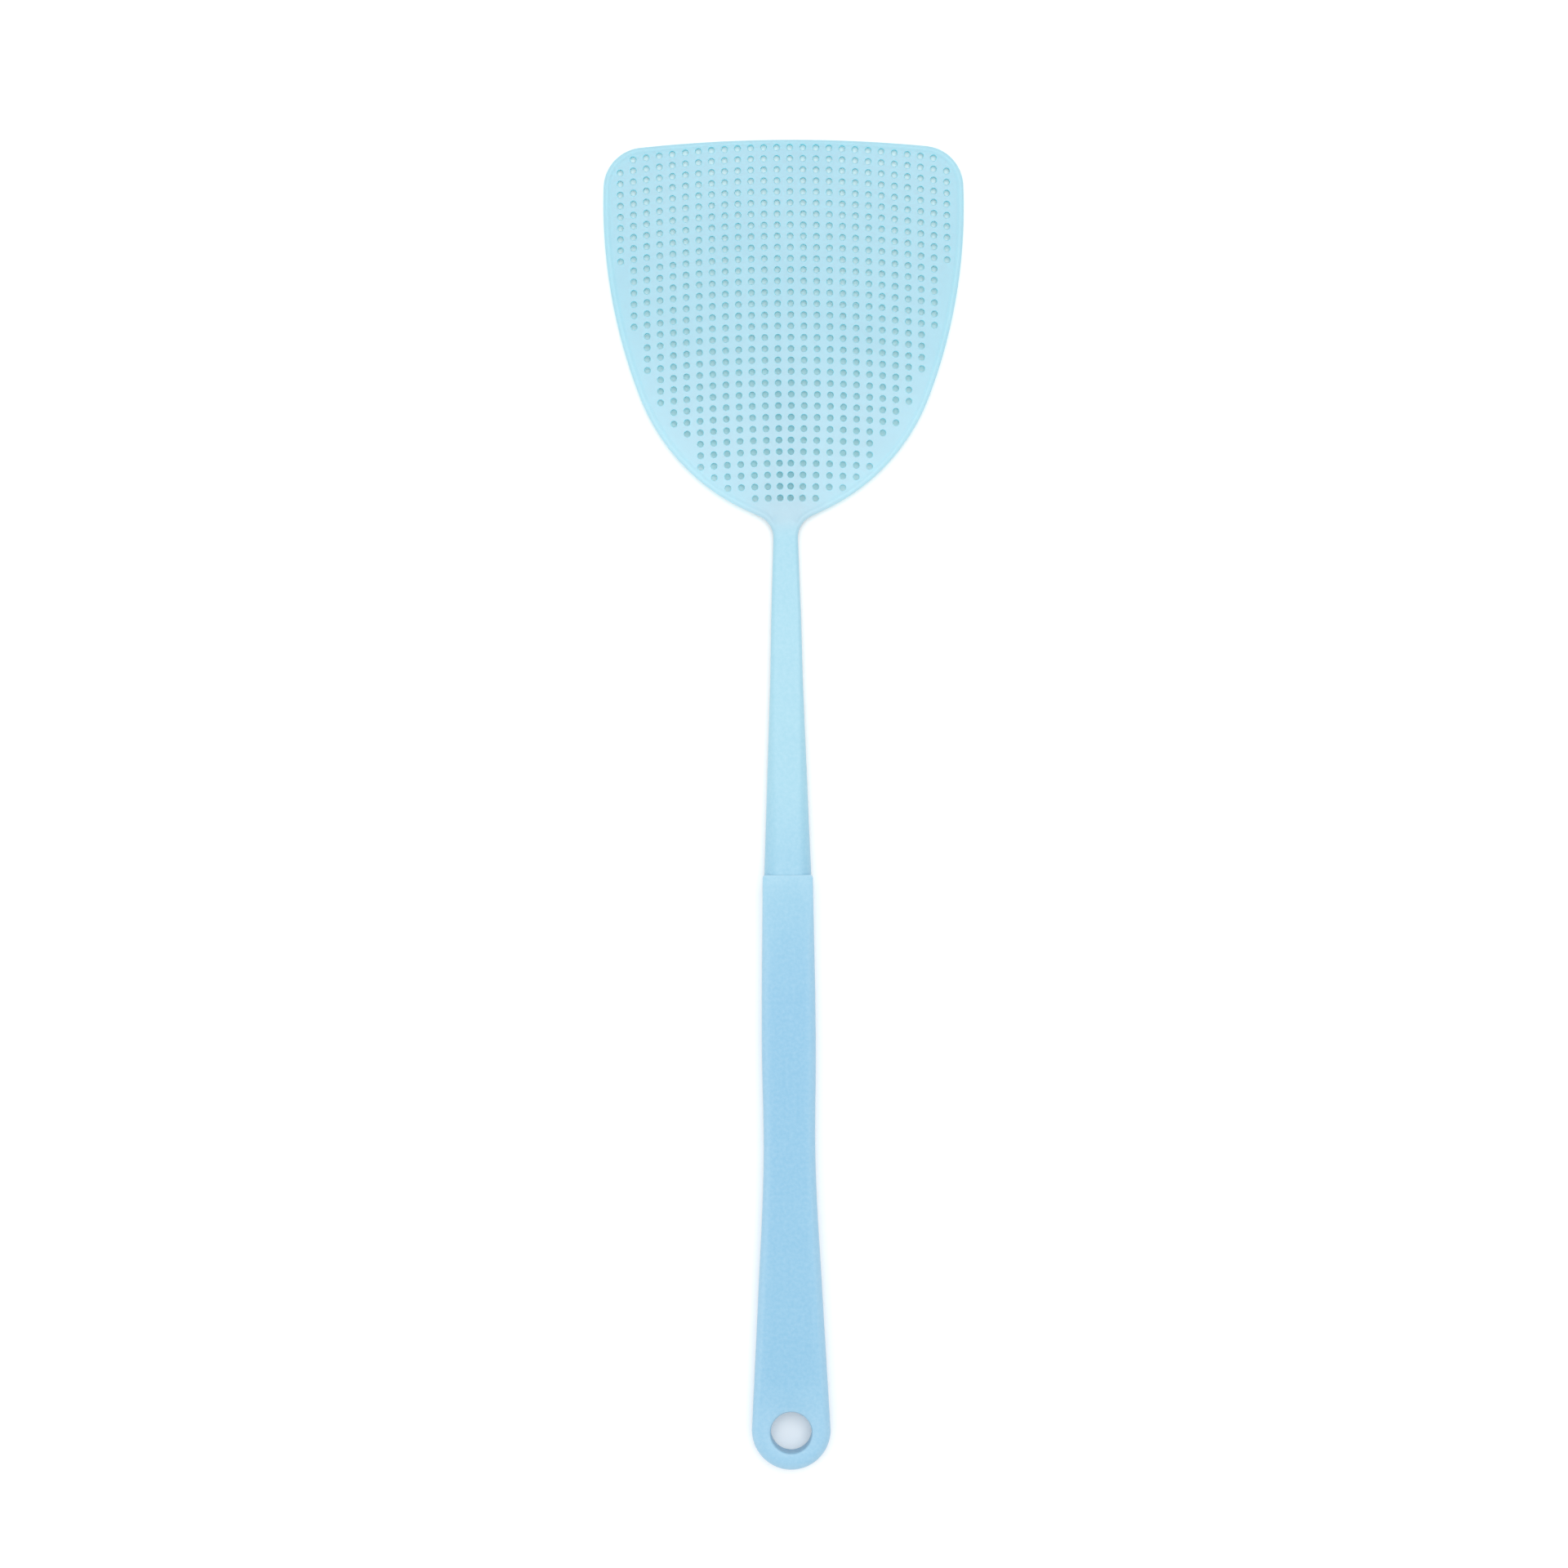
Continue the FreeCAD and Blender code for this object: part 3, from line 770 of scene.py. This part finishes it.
def fill_face(bm, ring, height, side):
    """A face of the grip inside one ring, with the eye's lip and, on the back, half of its wall."""
    flat = [v.co.xy.copy() for v in ring]
    border = len(flat)
    reach = EYE_RADIUS + EYE_LIP
    bearings = [2 * math.pi * n / EYE_CORNERS for n in range(EYE_CORNERS)]
    eye = Vector((0.0, EYE_PLACE))
    flat += [eye + bearing_vector(bearing) * reach for bearing in bearings]
    eye_ids = list(range(border, border + EYE_CORNERS))
    edges = loop_edges(list(range(border))) + loop_edges(eye_ids)
    y = SHOULDER - FACE_START
    while y > EYE_PLACE + FACE_STOP:
        half = grip_half_width(y) - FRONT_ROUND
        flat += [Vector((half * share, y)) for share in FACE_SHARES]
        y -= FACE_STEP
    points, _, faces, origins, _, _ = delaunay_2d_cdt(flat, edges, [], 1, CDT_TOLERANCE)
    source = [o[0] for o in origins]
    made = []
    for n, at in enumerate(points):
        if source[n] < border:
            made.append(ring[source[n]])
        else:
            made.append(bm.verts.new((at.x, at.y, height(at.x))))
    for face in faces:
        if all(source[n] in eye_ids for n in face):
            continue
        bm.faces.new([made[n] for n in (face if side < 0 else reversed(face))])
    by_source = {o: n for n, o in enumerate(source)}
    chain = [[made[by_source[n]] for n in eye_ids]]
    for angle in EYE_LIP_ANGLES:
        a = math.radians(angle)
        reach = EYE_RADIUS + EYE_LIP * (1 - math.sin(a))
        lip = []
        for n, bearing in enumerate(bearings):
            at = eye + bearing_vector(bearing) * reach
            z = chain[0][n].co.z + side * EYE_LIP * (1 - math.cos(a))
            lip.append(bm.verts.new((at.x, at.y, z)))
        chain.append(lip)
    join_rings(bm, chain)
    return chain[-1]


def rounded_corners(corners, radius):
    """A closed outline with each corner replaced by an arc of a few points."""
    outline = []
    count = len(corners)
    for n in range(count):
        here = Vector(corners[n])
        before = (Vector(corners[n - 1]) - here).normalized()
        after = (Vector(corners[(n + 1) % count]) - here).normalized()
        half = before.angle(after) / 2
        reach = radius / math.tan(half)
        centre = here + (before + after).normalized() * radius / math.sin(half)
        start = here + before * reach - centre
        end = here + after * reach - centre
        outline += [centre + start.slerp(end, k / CORNER_STEPS) for k in range(CORNER_STEPS + 1)]
    return outline


def core_cutters():
    """Closed plugs the shape of the bays, with a rounded mouth, a little draft and a rounded floor."""
    bm = bmesh.new()
    step = (CORE_END - CORE_START) / CORE_BAYS
    floor = GRIP_THICKNESS - SKIN
    levels = list(CORE_MOUTH) + [(floor + z, shrink) for z, shrink in CORE_FLOOR]
    for bay in range(CORE_BAYS):
        near = CORE_START + step * bay - RIB / 2
        far = CORE_START + step * (bay + 1) + RIB / 2
        for side in (1, -1):
            rings = []
            for z, shrink in levels:
                inner = RIB / 2 + shrink
                corners = [
                    (side * inner, near - shrink),
                    (side * (grip_half_width(near) - WALL - shrink), near - shrink),
                    (side * (grip_half_width(far) - WALL - shrink), far + shrink),
                    (side * inner, far + shrink),
                ]
                outline = rounded_corners(corners, CORE_CORNER)
                rings.append([bm.verts.new((p.x, p.y, z)) for p in outline])
            join_rings(bm, rings)
            close_ends(bm, rings)
    return bm


# Materials -----------------------------------------------------------------------------------------


class Nodes:
    """A short way to add and join shader nodes."""

    def __init__(self, name):
        self.material = bpy.data.materials.new(name)
        self.material.use_nodes = True
        self.tree = self.material.node_tree
        self.tree.nodes.clear()

    def fill(self, socket, value):
        """Links a socket to another, or gives it a plain value."""
        if isinstance(value, bpy.types.NodeSocket):
            self.tree.links.new(value, socket)
        else:
            socket.default_value = value

    def add(self, kind, settings=None, **inputs):
        """A node with settings and inputs. An input is called by its name, or by i and its number."""
        node = self.tree.nodes.new(kind)
        for key, value in (settings or {}).items():
            setattr(node, key, value)
        for key, value in inputs.items():
            name = int(key[1:]) if key[1:].isdigit() else key.replace("_", " ")
            self.fill(node.inputs[name], value)
        return node

    def noise(self, place, scale, detail, roughness):
        settings = {"Vector": place, "Scale": scale, "Detail": detail, "Roughness": roughness}
        return self.add("ShaderNodeTexNoise", **settings).outputs[0]

    def ramp(self, value, low, high, start=0.0, end=1.0, kind="LINEAR"):
        """A value carried from one range to another."""
        ranges = {"From_Min": low, "From_Max": high, "To_Min": start, "To_Max": end}
        settings = {"interpolation_type": kind}
        return self.add("ShaderNodeMapRange", settings, Value=value, **ranges).outputs[0]

    def mix(self, share, a, b):
        """Two colours mixed."""
        return self.add("ShaderNodeMix", {"data_type": "RGBA"}, i0=share, i6=a, i7=b).outputs[2]

    def math(self, operation, a, b):
        return self.add("ShaderNodeMath", {"operation": operation}, i0=a, i1=b).outputs[0]

    def mark(self, name):
        """A mesh attribute's value, which is 0 on a mesh that has none of that name."""
        return self.add("ShaderNodeAttribute", {"attribute_name": name}).outputs["Fac"]


def linear(red, green, blue):
    """A linear colour from display values of 0 to 255."""
    def channel(value):
        value /= 255
        return value / 12.92 if value <= 0.04045 else ((value + 0.055) / 1.055) ** 2.4

    return (channel(red), channel(green), channel(blue), 1.0)


# The plastic's colours: the thin web and its lower part, the neck and stem, the painted shade towards
# the grip, the palest specks and the painted highlight on edges, the painted shade on the holes' walls,
# and the light that passes through the web.
THIN_PALE = linear(191, 217, 231)
THIN_LOWER = linear(204, 222, 235)
PALE = linear(149, 194, 210)
SHADED_DEEP = linear(124, 175, 204)
SPECK_AND_HIGHLIGHT_TINT = linear(208, 228, 238)
WALL_SHADE_TINT = linear(130, 212, 230)
THROUGH_TINT = linear(168, 252, 255)
THROUGH_SHARE = 0.4

# Where along the swatter, in metres, the colour changes between those: the painted shade darkening
# towards the grip, and the web's lower part.
STEM_TO_GRIP_SHADE = (0.03, -0.075)
WEB_TO_LOWER = (0.162, 0.104)

# Scales of the plastic's patterns, in waves a metre, and the shares or heights that they change.
CLOUD_SCALE, CLOUD_SHARE = 38.0, 0.07
FLECK_SCALE, FLECK_SHARE = 900.0, 0.10
# The painted highlight on convex edges: the pointiness over which it comes in, and its strongest share.
EDGE_HIGHLIGHT_POINTS, EDGE_HIGHLIGHT_SHARE = (0.505, 0.56), 0.5
WALL_SHADE_SHARE = 0.7
STREAK_SCALES, STREAK_HEIGHT = (900.0, 42.0, 900.0), 0.000008
GRAIN_SCALE, GRAIN_HEIGHT = 2600.0, 0.000012
WAVE_SCALE, WAVE_HEIGHT = 70.0, 0.00012
BUMP_STRENGTH = 0.6
ROUGHNESSES = (0.36, 0.46)
PLASTIC_IOR = 1.49


def moulded_plastic(name, scuffs, edge_highlights):
    """Pale blue moulded plastic: painted shade darkening it towards the grip, mottling, fine grain and
    scuffs.

    Where it is thin, a share of the light passes through it, tinted, and shades the floor with colour.
    """
    n = Nodes(name)
    place = n.add("ShaderNodeTexCoord").outputs["Object"]
    split = n.add("ShaderNodeSeparateXYZ", Vector=place).outputs
    # Painted shade: the colour darkens from the neck's towards the grip's, standing in for the shade of
    # the handle turning away from the light. The cloud noise adds random mottling.
    painted_shade_and_mottle = n.ramp(split[1], *STEM_TO_GRIP_SHADE, kind="SMOOTHSTEP")
    cloud = n.noise(place, CLOUD_SCALE, 3.0, 0.55)
    painted_shade_and_mottle = n.math("ADD", painted_shade_and_mottle, n.ramp(cloud, 0.3, 0.7, -CLOUD_SHARE, CLOUD_SHARE))
    thin = n.mark("thin")
    lower = n.ramp(split[1], *WEB_TO_LOWER, kind="SMOOTHSTEP")
    web = n.mix(lower, THIN_PALE, THIN_LOWER)
    colour = n.mix(painted_shade_and_mottle, n.mix(thin, PALE, web), SHADED_DEEP)
    fleck = n.noise(place, FLECK_SCALE, 2.0, 0.6)
    colour = n.mix(n.ramp(fleck, 0.35, 0.7, 0.0, FLECK_SHARE), colour, SPECK_AND_HIGHLIGHT_TINT)
    # Painted highlight: pointy convex edges are painted paler, standing in for the bright light that
    # they reflect. On the swatter's own plastic it is kept to the blade's thin web.
    edge_highlight = n.add("ShaderNodeNewGeometry").outputs["Pointiness"]
    edge_highlight = n.ramp(edge_highlight, *EDGE_HIGHLIGHT_POINTS, 0.0, EDGE_HIGHLIGHT_SHARE)
    if not edge_highlights:
        edge_highlight = n.math("MULTIPLY", edge_highlight, thin)
    colour = n.mix(edge_highlight, colour, SPECK_AND_HIGHLIGHT_TINT)
    # Painted shade: the holes' walls and inner lips are painted a deeper teal, as the shade inside them.
    colour = n.mix(n.math("MULTIPLY", n.mark("hole_wall_shade"), WALL_SHADE_SHARE), colour, WALL_SHADE_TINT)

    stretch = n.add("ShaderNodeMapping", Vector=place, Scale=STREAK_SCALES).outputs[0]
    streak = n.noise(stretch, 1.0, 4.0, 0.6)
    rough = n.ramp(cloud, 0.25, 0.75, *ROUGHNESSES)
    rough = n.math("ADD", rough, n.ramp(streak, 0.55, 0.75, 0.0, scuffs))
    grain = n.math("MULTIPLY", n.noise(place, GRAIN_SCALE, 3.0, 0.6), GRAIN_HEIGHT)
    waves = n.math("MULTIPLY", n.noise(place, WAVE_SCALE, 1.0, 0.4), WAVE_HEIGHT)
    streaks = n.math("MULTIPLY", streak, STREAK_HEIGHT)
    height = n.math("ADD", n.math("ADD", grain, waves), streaks)
    bump = n.add("ShaderNodeBump", Height=height, Strength=BUMP_STRENGTH, Distance=1.0).outputs[0]
    looks = {"Base_Color": colour, "Roughness": rough, "Normal": bump, "IOR": PLASTIC_IOR}
    surface = n.add("ShaderNodeBsdfPrincipled", **looks)
    through = n.add("ShaderNodeBsdfTranslucent", Color=THROUGH_TINT, Normal=bump)
    share = n.math("MULTIPLY", thin, THROUGH_SHARE)
    both = n.add("ShaderNodeMixShader", i0=share, i1=surface.outputs[0], i2=through.outputs[0])
    n.add("ShaderNodeOutputMaterial", Surface=both.outputs[0])
    return n.material


# The floor: white card.
CARD_DARK = (0.93, 0.93, 0.93, 1.0)
CARD_LIGHT = (0.96, 0.96, 0.96, 1.0)
CARD_CLOUD_SCALE = 9.0
CARD_TOOTH_SCALE = 1400.0
CARD_ROUGHNESS = 0.9
FLOOR_HALF = 3.0


def floor_material():
    """Smooth white card, faintly clouded, with a faint tooth."""
    n = Nodes("white_card")
    place = n.add("ShaderNodeTexCoord").outputs["Object"]
    cloud = n.noise(place, CARD_CLOUD_SCALE, 3.0, 0.5)
    colour = n.mix(cloud, CARD_DARK, CARD_LIGHT)
    tooth = n.noise(place, CARD_TOOTH_SCALE, 2.0, 0.5)
    bump = n.add("ShaderNodeBump", Height=tooth, Strength=0.05, Distance=0.0002).outputs[0]
    surface = n.add("ShaderNodeBsdfPrincipled", Base_Color=colour, Roughness=CARD_ROUGHNESS, Normal=bump)
    n.add("ShaderNodeOutputMaterial", Surface=surface.outputs[0])
    return n.material


# Whole scene ---------------------------------------------------------------------------------------


# The camera's distance, the width that it sees and its shifts from the swatter's middle, as shares of
# the swatter's length, and its turn.
CAMERA_DISTANCE = 2.9
CAMERA_WIDTH = 1.183
CAMERA_SHIFT = (-0.0024, 0.0145)
CAMERA_TURN = math.radians(-0.36)
SENSOR_WIDTH = 36.0

# The lights' places, aims, sizes in metres and powers in watts, and the white light from all round.
LIGHTS = (
    ("overhead", (0.15, 0.35, 1.9), (0.0, 0.05, 0.0), 1.6, 16.2),
    ("side", (-1.6, -0.3, 1.1), (0.0, 0.0, 0.0), 1.4, 4.0),
)
WORLD_STRENGTH = 0.93


def finish_piece(piece, material, node):
    """Gives a piece its only material, and hides the CAD node that it shows in place of."""
    piece.data.materials.clear()
    piece.data.materials.append(material)
    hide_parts(node)


swatter_plastic = moulded_plastic("swatter_plastic", scuffs=0.05, edge_highlights=False)
grip_plastic = moulded_plastic("grip_plastic", scuffs=0.12, edge_highlights=True)

blade = build_head()
bend = build_neck("bending_neck", ROOT, BEND_END, BEND_STEPS)
twist = build_neck("twisting_neck", BEND_END, TWIST_END, TWIST_STEPS)
stem = build_stem()
grip = build_grip()

for piece, material, slot, node in (
    (blade, swatter_plastic, "swatter_plastic", "head"),
    (bend, swatter_plastic, "swatter_plastic", "upper_neck"),
    (twist, swatter_plastic, "swatter_plastic", "lower_neck"),
    (stem, swatter_plastic, "swatter_plastic", "stem"),
    (grip, grip_plastic, "grip_plastic", "grip"),
):
    finish_piece(piece, material, node)

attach(blade, "head")
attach(stem, "handle")
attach(grip, "handle")


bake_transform(bend)
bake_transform(twist)


def add_floor():
    """A wide flat square at the height that the swatter rests on."""
    bm = bmesh.new()
    half = FLOOR_HALF
    corners = ((-half, -half), (half, -half), (half, half), (-half, half))
    bm.faces.new([bm.verts.new((x, y, 0.0)) for x, y in corners])
    mesh = bpy.data.meshes.new("floor")
    bm.to_mesh(mesh)
    bm.free()
    floor = bpy.data.objects.new("floor", mesh)
    bpy.context.scene.collection.objects.link(floor)
    floor.data.materials.append(floor_material())
    return floor


def keep_clear(floor):
    """The floor stays under the blade's edge, so a bent or twisted head doesn't sink into it."""
    for number, (place, _) in enumerate(EDGE[::FLOOR_PROBE_STEP]):
        for side in (1, -1):
            height = centre_height(place.y) - RIM_RADIUS
            probe = bpy.data.objects.new("edge_probe_%d_%d" % (number, side), None)
            probe.location = Vector((side * place.x, place.y, height)) * MM
            bpy.context.scene.collection.objects.link(probe)
            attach(probe, "head")
            rule = floor.constraints.new("FLOOR")
            rule.target = probe
            rule.floor_location = "FLOOR_NEGATIVE_Z"


def add_light(name, place, aim, side, power):
    """A square soft light at a place, pointed at another."""
    light = bpy.data.lights.new(name, "AREA")
    light.shape = "SQUARE"
    light.size = side
    light.energy = power
    lamp = bpy.data.objects.new(name, light)
    lamp.location = place
    lamp.rotation_euler = (Vector(aim) - Vector(place)).to_track_quat("-Z", "Y").to_euler()
    bpy.context.scene.collection.objects.link(lamp)


def add_camera():
    """A long lens straight above, framed a little towards the blade, with a slight turn."""
    low, high = cad_box
    middle = (Vector(low) + Vector(high)) / 2
    length = high[1] - low[1]
    across, up = CAMERA_SHIFT
    camera = bpy.data.cameras.new("camera")
    camera.sensor_width = SENSOR_WIDTH
    camera.lens = SENSOR_WIDTH * CAMERA_DISTANCE / CAMERA_WIDTH
    holder = bpy.data.objects.new("camera", camera)
    holder.location = (middle.x + across * length, middle.y + up * length, CAMERA_DISTANCE * length)
    holder.rotation_euler = (0.0, 0.0, CAMERA_TURN)
    bpy.context.scene.collection.objects.link(holder)
    bpy.context.scene.camera = holder


def add_world():
    """Even white light from all round."""
    world = bpy.data.worlds.new("studio")
    world.use_nodes = True
    background = world.node_tree.nodes["Background"]
    background.inputs["Color"].default_value = (1.0, 1.0, 1.0, 1.0)
    background.inputs["Strength"].default_value = WORLD_STRENGTH
    bpy.context.scene.world = world


keep_clear(add_floor())
add_world()
for light in LIGHTS:
    add_light(*light)
add_camera()
bpy.context.scene.view_settings.view_transform = "Standard"
